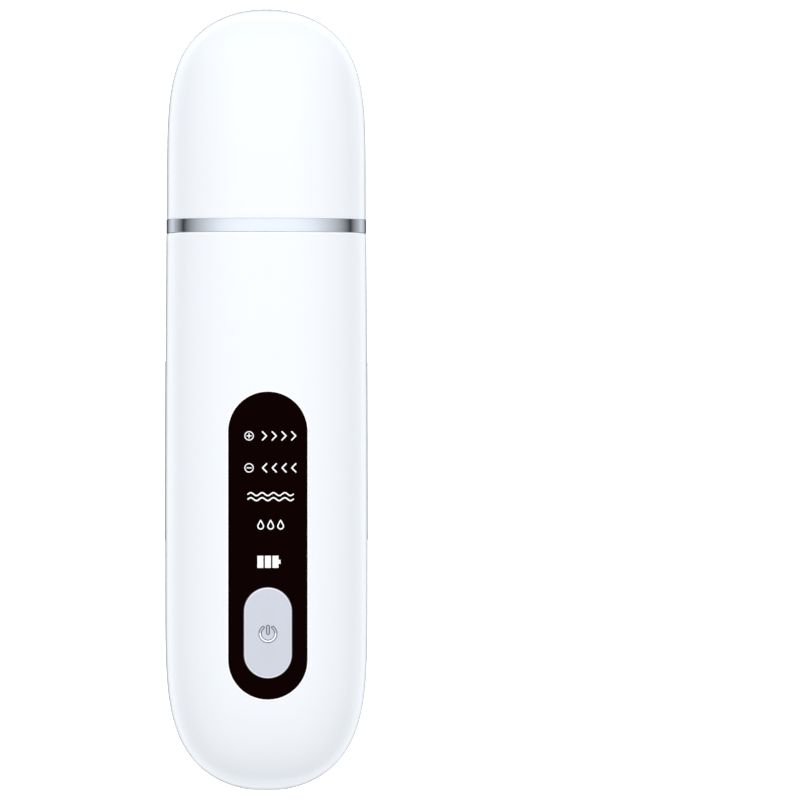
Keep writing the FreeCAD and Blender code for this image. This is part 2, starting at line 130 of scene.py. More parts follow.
def carve(piece, cutter):
    """Takes the cutter's volume out of the piece and removes the cutter."""
    modifier = piece.modifiers.new("carve", "BOOLEAN")
    modifier.operation = "DIFFERENCE"
    modifier.solver = "EXACT"
    modifier.object = cutter
    graph = bpy.context.evaluated_depsgraph_get()
    carved = bpy.data.meshes.new_from_object(piece.evaluated_get(graph))
    piece.modifiers.clear()
    piece.data = carved
    bpy.data.objects.remove(cutter)


def edge_faces(piece, is_edge, place=1):
    """Gives the faces whose centre passes the test the piece's second or a later material."""
    for face in piece.data.polygons:
        if is_edge(face.center):
            face.material_index = place


def quarter(steps):
    """Angles of a quarter turn, both ends included."""
    return [math.pi / 2 * step / steps for step in range(steps + 1)]


def finish_mesh(builder, mesh):
    """Turns the builder's faces outwards and writes them to the mesh."""
    bmesh.ops.recalc_face_normals(builder, faces=builder.faces)
    builder.to_mesh(mesh)
    builder.free()


def edit_mesh(piece):
    """A builder that holds the piece's mesh."""
    builder = bmesh.new()
    builder.from_mesh(piece.data)
    return builder


# ---- the handle's form ----
def nose_scale(y, inset=0.0):
    """Size of the handle's section at y as a share of its full size: slimmer at the ring, 0 past the tail."""
    base = TAIL + TAIL_NOSE
    if y > base:
        waist = (1 - RING_HALF_WIDTH / HALF_WIDTH) * (1 - inset / WALL)
        return 1 - waist * ((y - base) / (RING_LOW - base)) ** 2
    reach = (base - y) / (TAIL_NOSE - inset)
    return math.sqrt(max(0.0, 1 - reach ** NOSE_POWER))


def height(x, y, inset=0.0):
    """Height of the handle's skin above the parting plane, or of that skin moved in by inset."""
    scale = nose_scale(y, inset)
    side = abs(x) / (HALF_WIDTH - inset)
    room = scale ** SQUARENESS - side ** SQUARENESS
    return (HALF_DEPTH - inset) * max(0.0, room) ** (1 / SQUARENESS)


# Rays round an opening in a shell: steps along each straight side, and round each end.
SIDE_RAYS = 60
END_RAYS = 96


def rays(low, high, sides, arc, corners=()):
    """Outward rays in plan round an upright spine between two y values: (x, y, dx, dy) each."""
    angles = [math.pi * step / arc for step in range(1, arc)]
    top = sorted(angles + list(corners))
    found = []
    for step in range(sides + 1):
        found.append((0.0, low + (high - low) * step / sides, 1.0, 0.0))
    found += [(0.0, high, math.cos(angle), math.sin(angle)) for angle in top]
    for step in range(sides + 1):
        found.append((0.0, high + (low - high) * step / sides, -1.0, 0.0))
    found += [(0.0, low, -math.cos(angle), -math.sin(angle)) for angle in angles]
    return found


def along(ray, reach):
    """The point in plan that lies the given reach along the ray."""
    return ray[0] + ray[2] * reach, ray[1] + ray[3] * reach


def farthest(ray, inside, limit=0.2, halvings=44):
    """How far the ray goes before inside(x, y) stops being true."""
    near, far = 0.0, limit
    for _ in range(halvings):
        middle = (near + far) / 2
        if inside(*along(ray, middle)):
            near = middle
        else:
            far = middle
    return near


def shell_loops(side, opening, spread, seat):
    """Loops of one half of the handle, from its opening out over the skin, round the rim and back inside.

    side is 1 for the front and -1 for the rear. opening is the opening's half-width, spread its rays,
    and seat the height above the parting plane of the floor round the opening.
    """
    mouth = RING_LOW - SEAM
    flat = MID if side < 0 else math.inf
    lip_steps, land_steps, skin_steps, inner_steps = 8, 4, 44, 16
    inner_lip = 1.5 * MM
    floor_wall = 0.3 * MM

    def skin(x, y, inset):
        return (x, y, MID + side * min(height(x, y, inset), flat))

    def rim(ray, inset, margin):
        return farthest(ray, lambda x, y: y < mouth - margin and height(x, y, inset) > margin)

    ends = [rim(ray, 0.0, ROUNDING) for ray in spread]
    loops = []
    for step in range(lip_steps + 1):
        turn = math.pi * step / lip_steps
        reach = opening + LIP / 2 * (1 - math.cos(turn))
        rise = LIP_RISE * math.sin(turn) if side > 0 else 0.0
        if step == 0:
            rise = -LIP / 2
        loops.append([(x, y, z + side * rise) for x, y, z in
                      [skin(*along(ray, reach), 0.0) for ray in spread]])
    start = opening + LIP
    starts = [start] * len(spread)
    if side < 0:
        starts = [farthest(ray, lambda x, y: height(x, y) > MID and y < mouth - ROUNDING)
                  for ray in spread]
        for step in range(1, land_steps + 1):
            share = step / land_steps
            loops.append([skin(*along(ray, start + (crease - start) * share), 0.0)
                          for ray, crease in zip(spread, starts)])
    for step in range(1, skin_steps + 1):
        share = math.sin(math.pi / 2 * step / skin_steps)
        loops.append([skin(*along(ray, begin + (end - begin) * share), 0.0)
                      for ray, begin, end in zip(spread, starts, ends)])
    for angle in quarter(4)[1:]:
        inset = ROUNDING * (1 - math.cos(angle))
        margin = ROUNDING * (1 - math.sin(angle))
        loops.append([skin(*along(ray, rim(ray, inset, margin)), inset) for ray in spread])
    inner_ends = [rim(ray, WALL, 0.0) for ray in spread]
    inner_start = opening - inner_lip
    for step in range(inner_steps, -1, -1):
        share = math.sin(math.pi / 2 * step / inner_steps)
        loops.append([(x, y, MID + side * min(height(x, y, WALL), seat - floor_wall)) for x, y in
                      [along(ray, inner_start + (end - inner_start) * share)
                       for ray, end in zip(spread, inner_ends)]])
    for reach in (inner_start, opening):
        loops.append([(*along(ray, reach), MID + side * seat) for ray in spread])
    return loops


def corner_angles(high):
    """Ray angles from the spine's upper end to the handle's two corners at the ring."""
    angle = math.atan2(RING_LOW - SEAM - ROUNDING - high, RING_HALF_WIDTH * (1 - 1e-4))
    return angle, math.pi - angle


def stadium_prism(name, width, length, centre, axis, low, high):
    """Prism with a stadium outline, long along the second axis, pushed out along the given axis."""
    radius = width / 2
    run = length / 2 - radius
    steps = 48
    outline = []
    for turn, end in ((0, run), (1, -run)):
        for step in range(steps + 1):
            angle = math.pi * (turn + step / steps)
            outline.append((radius * math.cos(angle), end + radius * math.sin(angle)))
    place = {"x": lambda a, b, c: (c, centre[1] + b, centre[2] + a),
             "y": lambda a, b, c: (centre[0] + b, c, centre[2] + a),
             "z": lambda a, b, c: (centre[0] + a, centre[1] + b, c)}[axis]
    loops = [[place(a, b, level) for a, b in outline] for level in (low, high)]
    return loft(name, loops, start_pole=place(0, 0, low), end_pole=place(0, 0, high))


def cut_ports(shell):
    """Seats for the side contacts and the slot for the charging plug."""
    low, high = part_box("side_contact_right")
    centre = (low + high) / 2
    room = 0.1 * MM
    seat_depth = 1.1 * MM
    seat = high.x - seat_depth
    for side in (-1, 1):
        cutter = stadium_prism("cutter", high.z - low.z + room, high.y - low.y + room, centre, "x",
                               side * seat, side * (high.x + PAST))
        carve(shell, cutter)
    port_height, port_width, port_depth = 3.9 * MM, 9.6 * MM, 3 * MM
    cutter = stadium_prism("cutter", port_height, port_width, (0, 0, MID), "y",
                           TAIL - PAST, TAIL + port_depth)
    carve(shell, cutter)


def make_front_shell():
    """Front half of the handle, with the window's recess."""
    low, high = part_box("display_lens")
    radius = high.x
    gap = 0.06 * MM
    bed = 0.15 * MM
    spread = rays(low.y + radius, high.y - radius, SIDE_RAYS, END_RAYS, corner_angles(high.y - radius))
    seat = low.z - MID - bed
    piece = loft("front_shell_skin", shell_loops(1, radius + gap, spread, seat), closed_ring=True)
    cut_ports(piece)
    smooth(piece)
    spine = (low.y + radius, high.y - radius)

    # Faces round the window's opening, and faces by the mouth at the ring, get the painted highlight.
    def in_painted_highlight(point):
        if point.z < MID + HALF_DEPTH / 2 and point.y < RING_LOW - 2 * PAINTED_HIGHLIGHT_BAND:
            return False
        across = point.y - min(max(point.y, spine[0]), spine[1])
        return math.hypot(point.x, across) - radius < PAINTED_HIGHLIGHT_BAND or point.y > RING_LOW - PAINTED_HIGHLIGHT_BAND

    edge_faces(piece, in_painted_highlight)
    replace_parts(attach(piece, "handle"), "front_shell")
    return piece


def make_rear_shell():
    """Rear half of the handle, with the label's recess and the flat that the handle rests on."""
    low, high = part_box("rating_label")
    radius = high.x
    gap = 0.1 * MM
    bed = 0.15 * MM
    spread = rays(low.y + radius, high.y - radius, SIDE_RAYS, END_RAYS, corner_angles(high.y - radius))
    piece = loft("rear_shell_skin", shell_loops(-1, radius + gap, spread, MID - bed), closed_ring=True)
    cut_ports(piece)
    smooth(piece)
    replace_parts(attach(piece, "handle"), "rear_shell")
    return piece


# ---- cap and ring ----
def section(count, width, depth, y, flat=True):
    """Loop of a superellipse section at y; a flat one stops at z = 0, where the back rests."""
    loop = []
    for step in range(count):
        angle = 2 * math.pi * step / count
        across, up = math.cos(angle), math.sin(angle)
        reach = (abs(across) ** SQUARENESS + abs(up) ** SQUARENESS) ** (-1 / SQUARENESS)
        z = MID + depth * up * reach
        loop.append((width * across * reach, y, max(0.0, z) if flat else z))
    return loop


def make_cap():
    """Hollow white cap with a domed end, open at the ring."""
    count = 192
    outer_rows, inner_rows = 72, 40
    # The cap's faces by its mouth get a painted highlight this wide.
    bright = 0.6 * PAINTED_HIGHLIGHT_BAND
    length = CAP_TIP - CAP_MOUTH
    inner_length = length - CAP_TIP_WALL
    loops = []
    for row in range(inner_rows - 1, -1, -1):
        reach = math.sin(math.pi / 2 * row / inner_rows)
        scale = math.sqrt(1 - reach ** INNER_NOSE_POWER)
        loops.append(section(count, (CAP_HALF_WIDTH - CAP_WALL) * scale, (CAP_HALF_DEPTH - CAP_WALL) * scale,
                             CAP_MOUTH + inner_length * reach, False))
    for angle in quarter(5)[:-1]:
        inset = CAP_ROUNDING * (1 - math.sin(angle))
        y = CAP_MOUTH + CAP_ROUNDING * (1 - math.cos(angle))
        loops.append(section(count, CAP_HALF_WIDTH - inset, CAP_HALF_DEPTH - inset, y))
    for row in range(outer_rows):
        reach = math.sin(math.pi / 2 * row / outer_rows)
        scale = math.sqrt(1 - reach ** NOSE_POWER)
        y = CAP_MOUTH + max(CAP_ROUNDING, length * reach)
        loops.append(section(count, CAP_HALF_WIDTH * scale, CAP_HALF_DEPTH * scale, y))
    piece = loft("cap_skin", loops, start_pole=(0, CAP_MOUTH + inner_length, MID), end_pole=(0, CAP_TIP, MID))
    smooth(piece)
    edge_faces(piece, lambda point: point.y < CAP_MOUTH + bright)
    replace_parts(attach(piece, "cap"), "cap_shell")
    return piece


def make_ring():
    """Chrome band between the handle and the cap, round the neck."""
    count = 256
    edge = 0.07 * MM
    gap = 0.1 * MM
    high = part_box("neck_housing")[1]
    hole_width = high.x + gap
    hole_depth = high.z - MID - gap
    loops = []
    for angle in quarter(4):
        inset = edge * (1 - math.sin(angle))
        y = RING_LOW + edge * (1 - math.cos(angle))
        loops.append(section(count, RING_HALF_WIDTH - inset, RING_HALF_DEPTH - inset, y))
    for angle in quarter(4):
        inset = edge * (1 - math.cos(angle))
        y = RING_HIGH - edge * (1 - math.sin(angle))
        loops.append(section(count, RING_HALF_WIDTH - inset, RING_HALF_DEPTH - inset, y))
    for y in (RING_HIGH, RING_LOW):
        loops.append(section(count, hole_width, hole_depth, y, False))
    piece = loft("ring_band", loops, closed_ring=True)
    smooth(piece)
    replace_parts(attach(piece, "handle"), "chrome_ring")
    return piece


# ---- neck and blade ----
def make_neck():
    """White neck above the ring: a soft-edged arch with the blade's slot and two low bars on each face."""
    low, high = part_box("neck_housing")
    snap_ridge = 0.2 * MM
    width = high.x
    depth = (high.z - low.z) / 2 - snap_ridge
    wall = 1.5 * MM
    skirt = 6 * MM
    soft = 1.0 * MM
    arch = 63.5 * MM
    count = 192
    rows = 12

    def top(x, inset):
        return high.y - arch + math.sqrt((arch - inset) ** 2 - x ** 2)

    def ring(share, inset, drop, y=None):
        return [(x * share, top(x * share, drop) if y is None else y, MID + (z - MID) * share)
                for x, _, z in section(count, width - inset, depth - inset, 0, False)]

    shares = [math.sin(math.pi / 2 * step / rows) for step in range(1, rows)]
    loops = [ring(share, wall, wall) for share in shares + [1]]
    loops += [ring(1, wall, 0, low.y + skirt), ring(1, 0, 0, low.y + skirt), ring(1, 0, 0, RING_HIGH)]
    loops += [ring(1, soft * (1 - math.cos(angle)), soft * (1 - math.sin(angle))) for angle in quarter(6)]
    loops += [ring(share, soft, 0) for share in shares[::-1]]
    piece = loft("neck_skin", loops, start_pole=(0, top(0, wall), MID), end_pole=(0, top(0, 0), MID))
    seal_overlap = 0.8 * MM
    slot_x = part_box("blade_seal")[1].x - seal_overlap
    slot_z = 1.5 * MM
    corners = ((-slot_x, -slot_z), (slot_x, -slot_z), (slot_x, slot_z), (-slot_x, slot_z))
    start, end = RING_HIGH, high.y + PAST
    carve(piece, loft("cutter", [[(x, y, MID + z) for x, z in corners] for y in (start, end)],
                      start_pole=(0, start, MID), end_pole=(0, end, MID)))
    add_snap_bars(piece, width, depth)
    smooth(piece, 30)
    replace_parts(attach(piece, "handle"), "neck_housing")
    return piece


def add_snap_bars(neck, width, depth):
    """Two low bars on each face of a neck whose section has the given half-width and half-depth."""
    foot, crest = 0.4 * MM, 0.2 * MM
    sunk, rise = 0.15 * MM, 0.35 * MM
    length = 5.4 * MM
    left_start, right_start = -18.1 * MM, 12.7 * MM
    above_ring = 3.0 * MM
    y = RING_HIGH + above_ring
    bar = [(foot, -sunk), (crest, rise), (-crest, rise), (-foot, -sunk)]
    builder = edit_mesh(neck)
    for side in (1, -1):
        for x in (left_start, right_start):
            first = len(builder.verts)
            stroke(builder, straight((x, y), (x + length, y), 12), bar,
                   lambda a, b: MID + depth * (1 - (abs(a) / width) ** SQUARENESS) ** (1 / SQUARENESS))
            builder.verts.ensure_lookup_table()
            for vertex in builder.verts[first:]:
                vertex.co.z = MID + side * (vertex.co.z - MID)
    finish_mesh(builder, neck.data)


def make_blade():
    """Steel spatula: flat shank, a pressed crease, and a tip bent forwards with a hollowed edge."""
    low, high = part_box("blade")
    tip = high.y
    crease = tip - 6.7 * MM
    crease_half = 0.6 * MM
    crease_dip = 0.22 * MM
    flat_end, bent_start = crease - 0.8 * MM, crease + 0.8 * MM
    half = 0.4 * MM
    sharpened = 0.3 * MM
    slope = math.tan(math.radians(16))
    corner = 1.5 * MM
    root_half, shoulder_half, crease_width, tip_half = 6.0 * MM, 16.6 * MM, 14.0 * MM, 13.3 * MM
    stations = [(low.y, root_half), (low.y + 20 * MM, root_half), (low.y + 27 * MM, shoulder_half),
                (tip - 26.7 * MM, shoulder_half), (crease, crease_width), (tip - corner, tip_half)]
    hollow_half, hollow_depth = 8.5 * MM, 1.6 * MM
    hollow_radius = (hollow_half ** 2 + hollow_depth ** 2) / (2 * hollow_depth)

    def half_width(y):
        for (start, wide), (end, next_wide) in zip(stations, stations[1:]):
            if y <= end:
                return wide + (next_wide - wide) * (y - start) / (end - start)
        round_share = (y - tip + corner) / corner
        return tip_half - corner + corner * math.sqrt(max(0.0, 1 - round_share ** 2))

    def edge(x):
        if abs(x) > hollow_half:
            return tip
        return tip - hollow_depth + hollow_radius - math.sqrt(hollow_radius ** 2 - x ** 2)

    side_columns, flat_rows, crease_rows, bent_rows = 24, 60, 4, 20
    columns = [math.sin(math.pi / 2 * step / side_columns) for step in range(-side_columns, side_columns + 1)]
    levels = [low.y + (flat_end - low.y) * step / flat_rows for step in range(flat_rows + 1)]
    levels += [crease + crease_half * step / crease_rows for step in range(-crease_rows, crease_rows + 1)]
    levels += [bent_start + (tip - bent_start) * math.sin(math.pi / 2 * step / bent_rows)
               for step in range(bent_rows + 1)]
    loops = []
    for place, level in enumerate(levels):
        thick = half
        if level > tip - sharpened:
            thick = half * math.sqrt(max(0.0, 1 - ((level - tip) / sharpened + 1) ** 2))
        if place == 0:
            thick = 0.0
        share = max(0.0, (level - crease) / (tip - crease))
        front, back = [], []
        for column in columns:
            x = column * half_width(level)
            y = level - share * (tip - edge(x))
            rise = max(0.0, y - crease) * slope
            dip = crease_dip * max(0.0, 1 - abs(y - crease) / crease_half)
            front.append((x, y, MID + rise + thick - dip))
            back.append((x, y, MID + rise - thick))
        loops.append(front + back[::-1])
    piece = loft("blade_skin", loops)
    smooth(piece, 12)
    # The lower side of the crease and the tip get the painted highlight.
    edge_faces(piece, lambda point: crease - crease_half < point.y < crease or point.y > crease + crease_half)
    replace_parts(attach(piece, "handle"), "blade")
    return piece


# ---- panel, button and marks ----
def make_lens():
    """Curved black window, flush with the shell, with the key's hole through it."""
    low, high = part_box("display_lens")
    radius = high.x
    spread = rays(low.y + radius, high.y - radius, 2 * SIDE_RAYS, END_RAYS)
    edge = 0.12 * MM
    face_steps = 12
    loops = [[(*along(ray, radius * share), low.z) for ray in spread] for share in (0, 1)]
    for angle in quarter(3):
        drop = edge * (1 - math.sin(angle))
        reach = radius - edge * (1 - math.cos(angle))
        loops.append([(x, y, MID + height(x, y) - drop) for x, y in [along(ray, reach) for ray in spread]])
    for step in range(1, face_steps + 1):
        reach = (radius - edge) * (1 - step / face_steps)
        loops.append([(x, y, MID + height(x, y)) for x, y in [along(ray, reach) for ray in spread]])
    piece = loft("lens_window", loops)
    key_low, key_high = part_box("power_button")
    centre = (key_low + key_high) / 2
    gap = 0.2 * MM
    carve(piece, stadium_prism("cutter", key_high.x * 2 - 2 * KEY_FLANGE + 2 * gap,
                               key_high.y - key_low.y - 2 * KEY_FLANGE + 2 * gap, centre, "z",
                               low.z - PAST, key_high.z + PAST))
    smooth(piece)
    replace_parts(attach(piece, "handle"), "display_lens")
    return piece


def stroke(builder, points, section, surface, ends="round"):
    """Bar along points in plan with the given cross-section, on surface(x, y).

    section holds (across, up) corners; up is counted from the surface. ends is round, square or joined.
    """
    closed = ends == "joined"
    count = len(points)
    half = max(across for across, up in section)
    rows = []

    def add_row(x, y, side, size):
        row = []
        for across, up in section:
            px, py = x + side.x * across * size, y + side.y * across * size
            row.append(builder.verts.new((px, py, surface(px, py) + (up * size if up < 0 else up))))
        rows.append(row)

    headings = []
    for step in range(count):
        if closed:
            before, after = points[step - 1], points[(step + 1) % count]
        else:
            before, after = points[max(step - 1, 0)], points[min(step + 1, count - 1)]
        headings.append(Vector((after[0] - before[0], after[1] - before[1])).normalized())
    turns = [math.radians(turn) for turn in (75, 50, 25)]
    if ends == "round":
        for turn in turns:
            x, y = Vector(points[0]) - headings[0] * half * math.sin(turn)
            add_row(x, y, Vector((-headings[0].y, headings[0].x)), math.cos(turn))
    for (x, y), heading in zip(points, headings):
        add_row(x, y, Vector((-heading.y, heading.x)), 1)
    if ends == "round":
        for turn in turns[::-1]:
            x, y = Vector(points[-1]) + headings[-1] * half * math.sin(turn)
            add_row(x, y, Vector((-headings[-1].y, headings[-1].x)), math.cos(turn))
    spans = len(rows) if closed else len(rows) - 1
    corners = len(section)
    for step in range(spans):
        low, high = rows[step], rows[(step + 1) % len(rows)]
        for corner in range(corners):
            after = (corner + 1) % corners
            builder.faces.new((low[corner], low[after], high[after], high[corner]))
    if not closed:
        builder.faces.new(rows[0][::-1])
        builder.faces.new(rows[-1])


def ink(width, lift=0.02 * MM):
    """Cross-section of a printed line."""
    half = width / 2
    return [(half, lift), (-half, lift), (-half, -lift), (half, -lift)]


def groove(width, depth):
    """Cross-section of a cutter for a channel with steep sides and a narrow flat floor."""
    half = width / 2
    return [(half, depth), (-half, depth), (-half, 0), (-half * 0.4, -depth), (half * 0.4, -depth), (half, 0)]


def circle(x, y, radius, start=0, turn=360, steps=32):
    """Points round a circle in plan, by angles in degrees."""
    found = []
    last = steps if turn == 360 else steps + 1
    for step in range(last):
        angle = math.radians(start + turn * step / steps)
        found.append((x + radius * math.cos(angle), y + radius * math.sin(angle)))
    return found


def straight(start, end, steps=8):
    """Points along a straight line in plan, both ends included."""
    return [(start[0] + (end[0] - start[0]) * step / steps, start[1] + (end[1] - start[1]) * step / steps)
            for step in range(steps + 1)]


def panel_surface(x, y):
    """Height of the window's face, which the marks lie on."""
    return MID + height(x, y)


def mark(name, strokes):
    """One white mark printed on the window, made of bars."""
    builder = bmesh.new()
    for points, width, ends in strokes:
        stroke(builder, points, ink(width), panel_surface, ends)
    mesh = bpy.data.meshes.new(name)
    finish_mesh(builder, mesh)
    piece = new_object(name, mesh)
    smooth(piece, 30)
    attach(piece, "handle")
    return piece


def make_marks():
    """Pictograms in place of words: charge in, charge out, waves, drops, and a battery gauge."""
    line, thin_line, sign_line = 0.31 * MM, 0.22 * MM, 0.24 * MM
    shift = 0.6 * MM
    sign_x = shift - 4.75 * MM
    sign_radius, arm = 0.93 * MM, 0.45 * MM
    arrow_x, arrow_pitch, arrow_size = shift - 1.35 * MM, 2.15 * MM, 0.9 * MM
    rows = [led_row(index) for index in range(4)]
    marks = []
    for index, sign in ((0, 1), (1, -1)):
        y = rows[index]
        strokes = [(circle(sign_x, y, sign_radius), thin_line, "joined"),
                   (straight((sign_x - arm, y), (sign_x + arm, y)), sign_line, "round")]
        if sign > 0:
            strokes.append((straight((sign_x, y - arm), (sign_x, y + arm)), sign_line, "round"))
        for place in range(4):
            tip = arrow_x + arrow_pitch * place + sign * arrow_size / 2
            back = tip - sign * arrow_size
            upper = straight((back, y + arrow_size), (tip, y))
            lower = straight((tip, y), (back, y - arrow_size))
            strokes.append((upper + lower[1:], line, "round"))
        marks.append(mark(("charge_in_mark", "charge_out_mark")[index], strokes))
    wave = []
    steps, crests = 80, 4
    wave_half, wave_rise = 5.0 * MM, 0.32 * MM
    for level in (-0.75 * MM, 0.35 * MM):
        points = []
        for step in range(steps + 1):
            x = shift + wave_half * (2 * step / steps - 1)
            points.append((x, rows[2] + level + wave_rise * math.sin(2 * math.pi * crests * step / steps)))
        wave.append((points, line, "round"))
    marks.append(mark("wave_mark", wave))
    drop_line, drop_pitch = 0.28 * MM, 2.2 * MM
    drops = [(drop_outline(shift + x, rows[3]), drop_line, "joined") for x in (-drop_pitch, 0, drop_pitch)]
    marks.append(mark("drop_mark", drops))
    gauge_y = (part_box("battery_leds")[0].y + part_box("battery_leds")[1].y) / 2
    bar_width, bar_half, pitch = 1.33 * MM, 1.34 * MM, 1.67 * MM
    bars = [(straight((x, gauge_y - bar_half), (x, gauge_y + bar_half)), bar_width, "square")
            for x in (-pitch, 0, pitch)]
    right = pitch + bar_width / 2
    stub, stub_width = 0.45 * MM, 0.9 * MM
    bars.append((straight((right, gauge_y), (right + stub, gauge_y)), stub_width, "square"))
    marks.append(mark("gauge_mark", bars))
    return marks


def drop_outline(x, y):
    """Round drop with a pointed top."""
    radius = 0.62 * MM
    low = y - 0.3 * MM
    side = circle(x, low, radius, 150, 240, 24)
    tip = (x, y + 1.05 * MM)
    right = straight(side[-1], tip, 5)[1:]
    left = straight(tip, side[0], 5)[1:-1]
    return side + right + left


def led_row(index):
    """y of one of the four mark rows, from the lamps' places, first the row nearest the cap."""
    lamps = nodes["mode_leds"].data.vertices
    places = sorted({round(vertex.co.y / MM, 2) for vertex in lamps}, reverse=True)
    return (places[2 * index] + places[2 * index + 1]) / 2 * MM


def make_button():
    """Silver key: a stadium with a soft rim, a slightly crowned face and a sunk power symbol."""
    low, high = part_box("power_button")
    radius = high.x - KEY_FLANGE
    spine = (low.y + KEY_FLANGE + radius, high.y - KEY_FLANGE - radius)
    spread = rays(*spine, 24, 64)
    rim = 0.3 * MM
    crown = 0.07 * MM
    side_depth = 1.9 * MM
    face_steps = 8
    middle = (low.y + high.y) / 2

    def top(x, y):
        return high.z - crown * (x / radius) ** 2 - crown * ((y - middle) / (high.y - middle)) ** 2

    loops = [[(*along(ray, radius), high.z - side_depth) for ray in spread]]
    for angle in quarter(5):
        reach = radius - rim * (1 - math.cos(angle))
        drop = rim * (1 - math.sin(angle))
        loops.append([(x, y, top(x, y) - drop) for x, y in [along(ray, reach) for ray in spread]])
    for step in range(1, face_steps + 1):
        reach = (radius - rim) * (1 - step / face_steps)
        loops.append([(x, y, top(x, y)) for x, y in [along(ray, reach) for ray in spread]])
    mesh_piece = loft("power_key", loops)
    builder = edit_mesh(mesh_piece)
    bmesh.ops.holes_fill(builder, edges=[edge for edge in builder.edges if edge.is_boundary])
    finish_mesh(builder, mesh_piece.data)
    symbol_y = middle - 0.16 * MM
    depth = 0.42 * MM
    gap_degrees = 76
    ring_radius, ring_width = 1.72 * MM, 0.74 * MM
    bar_top, bar_foot, bar_width = symbol_y + 1.55 * MM, symbol_y + 0.1 * MM, 0.84 * MM
    ring = circle(0, symbol_y, ring_radius, 90 + gap_degrees / 2, 360 - gap_degrees, 40)
    lines = ((ring, groove(ring_width, depth)),
             (straight((0, bar_top), (0, bar_foot)), groove(bar_width, depth)))
    for points, channel in lines:
        builder = bmesh.new()
        stroke(builder, points, channel, top)
        mesh = bpy.data.meshes.new("cutter")
        finish_mesh(builder, mesh)
        carve(mesh_piece, new_object("cutter", mesh))
    smooth(mesh_piece, 40)

    def in_rim(point):
        across = math.hypot(point.x, point.y - min(max(point.y, spine[0]), spine[1]))
        return across > radius - rim

    def sunk(point):
        return top(point.x, point.y) - point.z

    # Painted highlight on the rim's upper part and on the lower half of the symbol's floor; painted shade on
    # the symbol's walls.
    rim_highlight_from = high.z - 0.8 * MM
    floor_from, floor_to = depth * 0.9, depth * 1.5
    face_slack = 0.012 * MM
    edge_faces(mesh_piece, lambda point: in_rim(point) and point.z > rim_highlight_from)
    edge_faces(mesh_piece, lambda point: not in_rim(point) and point.y < symbol_y
               and floor_from < sunk(point) < floor_to)
    edge_faces(mesh_piece, lambda point: not in_rim(point) and face_slack < sunk(point) < floor_from, 2)
    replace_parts(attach(mesh_piece, "button"), "power_button")
    return mesh_piece


# ---- materials ----
def material(name, color, roughness, metallic=0.0, grain=400.0, tint=0.03, bump=0.02, spread=0.04,
             coat=0.0, stretch=(1, 1, 1), specular=0.5, edge=(1, 1, 1), painted_shade_fade=None):
    """Principled surface whose colour, roughness and bump vary with a fine noise in object space.

    painted_shade_fade is (low y, high y, share): painted shade, where the colour falls to that share of
    itself towards the low y.
    """
    made = bpy.data.materials.new(name)
    made.use_nodes = True
    tree = made.node_tree
    shader = tree.nodes["Principled BSDF"]
    shader.inputs["Metallic"].default_value = metallic
    shader.inputs["Coat Weight"].default_value = coat
    shader.inputs["Coat Roughness"].default_value = 0.05
    shader.inputs["Specular IOR Level"].default_value = specular
    place = tree.nodes.new("ShaderNodeTexCoord")
    scale = tree.nodes.new("ShaderNodeMapping")
    scale.inputs["Scale"].default_value = stretch
    noise = tree.nodes.new("ShaderNodeTexNoise")
    noise.inputs["Scale"].default_value = grain
    noise.inputs["Detail"].default_value = 6
    tree.links.new(place.outputs["Object"], scale.inputs["Vector"])
    tree.links.new(scale.outputs["Vector"], noise.inputs["Vector"])
    mix = tree.nodes.new("ShaderNodeMix")
    mix.data_type = "RGBA"
    mix.inputs["A"].default_value = (*[channel * (1 - tint) for channel in color], 1)
    mix.inputs["B"].default_value = (*[min(1, channel * (1 + tint)) for channel in color], 1)
    tree.links.new(noise.outputs["Fac"], mix.inputs["Factor"])
    tree.links.new(mix.outputs["Result"], shader.inputs["Base Color"])
    if painted_shade_fade is not None:
        split = tree.nodes.new("ShaderNodeSeparateXYZ")
        slope = tree.nodes.new("ShaderNodeMapRange")
        slope.inputs["From Min"].default_value, slope.inputs["From Max"].default_value = painted_shade_fade[:2]
        slope.inputs["To Min"].default_value = painted_shade_fade[2]
        darker = tree.nodes.new("ShaderNodeVectorMath")
        darker.operation = "MULTIPLY"
        tree.links.new(place.outputs["Object"], split.inputs["Vector"])
        tree.links.new(split.outputs["Y"], slope.inputs["Value"])
        tree.links.new(mix.outputs["Result"], darker.inputs[0])
        tree.links.new(slope.outputs["Result"], darker.inputs[1])
        tree.links.new(darker.outputs["Vector"], shader.inputs["Base Color"])
    band = tree.nodes.new("ShaderNodeMapRange")
    band.inputs["To Min"].default_value = max(0.0, roughness - spread)
    band.inputs["To Max"].default_value = roughness + spread
    tree.links.new(noise.outputs["Fac"], band.inputs["Value"])
    tree.links.new(band.outputs["Result"], shader.inputs["Roughness"])
    relief = tree.nodes.new("ShaderNodeBump")
    relief.inputs["Strength"].default_value = bump
    relief.inputs["Distance"].default_value = 0.0002
    tree.links.new(noise.outputs["Fac"], relief.inputs["Height"])
    tree.links.new(relief.outputs["Normal"], shader.inputs["Normal"])
    shader.inputs["Specular Tint"].default_value = (*edge, 1)
    return made


